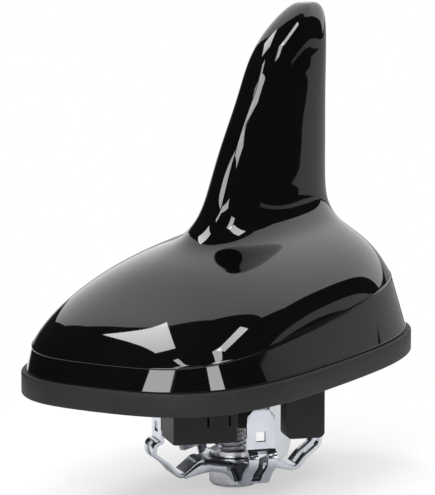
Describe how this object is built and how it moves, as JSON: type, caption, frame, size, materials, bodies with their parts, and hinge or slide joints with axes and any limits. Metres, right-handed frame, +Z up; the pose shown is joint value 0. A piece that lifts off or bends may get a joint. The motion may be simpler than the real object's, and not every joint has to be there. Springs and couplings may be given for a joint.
{
  "type": "roof antenna",
  "caption": "Shark-fin roof antenna with a gloss shell on a rubber-edged base, held through the roof by a spring claw drawn up by one bolt.",
  "frame": {"origin": "on the clamp bolt's axis, in the plane of the gasket's underside where it meets the roof", "axes": "+Z up, away from the roof; -Y to the front of the car; +X to the side shown in the picture"},
  "size_m": [0.058, 0.1006, 0.097],
  "materials": {
    "cover_gloss": "piano black, polished",
    "gasket_rubber": "matt, fine grain",
    "base_plastic": "moulded, fine texture",
    "screw_steel": "zinc plated",
    "zinc_sheet": "bright zinc, rolled",
    "zinc_spring": "bright zinc, tumbled",
    "bolt_steel": "bright zinc, turned",
    "insert_brass": "turned",
    "board_laminate": "solder mask",
    "copper_foil": "etched copper foil",
    "patch_ceramic": "fired, unglazed",
    "electrode_silver": "printed silver",
    "contact_gold": "gold flash",
    "tinned_can": "tinned sheet",
    "chip_epoxy": "moulded",
    "carrier_plastic": "moulded",
    "jack_white": "turned fluoropolymer"
  },
  "bodies": {
    "base": {"fin_cover": "cover_gloss", "base_gasket": "gasket_rubber", "base_plate": "base_plastic", "cover_screws": "screw_steel", "claw_guide": "zinc_sheet", "guide_screws": "screw_steel", "thread_insert": "insert_brass", "main_board": "board_laminate", "board_screws": "screw_steel", "fin_board": "board_laminate", "fin_radiator": "copper_foil", "gps_patch": "patch_ceramic", "patch_electrode": "electrode_silver", "patch_feed_pin": "contact_gold", "shield_can": "tinned_can", "board_chips": "chip_epoxy", "jack_carrier": "carrier_plastic", "jack_shells": "contact_gold", "jack_insulators": "jack_white", "jack_pins": "contact_gold"},
    "claw": {"clamp_claw": "zinc_spring"},
    "bolt": {"clamp_bolt": "bolt_steel", "bolt_retainer": "bolt_steel"}
  },
  "joints": [
    {"name": "claw_slide", "type": "slide", "parent": "base", "child": "claw", "axis": [0, 0, 1], "range_m": [0, 0.0045]},
    {"name": "bolt_turn", "type": "hinge", "parent": "claw", "child": "bolt", "pos_m": [0, 0, -0.02], "axis": [0, 0, 1], "range_deg": [0, 1620]}
  ],
  "couplings": [
    {"joint": "bolt_turn", "follows": "claw_slide", "rad_per_m": 6283.2}
  ]
}
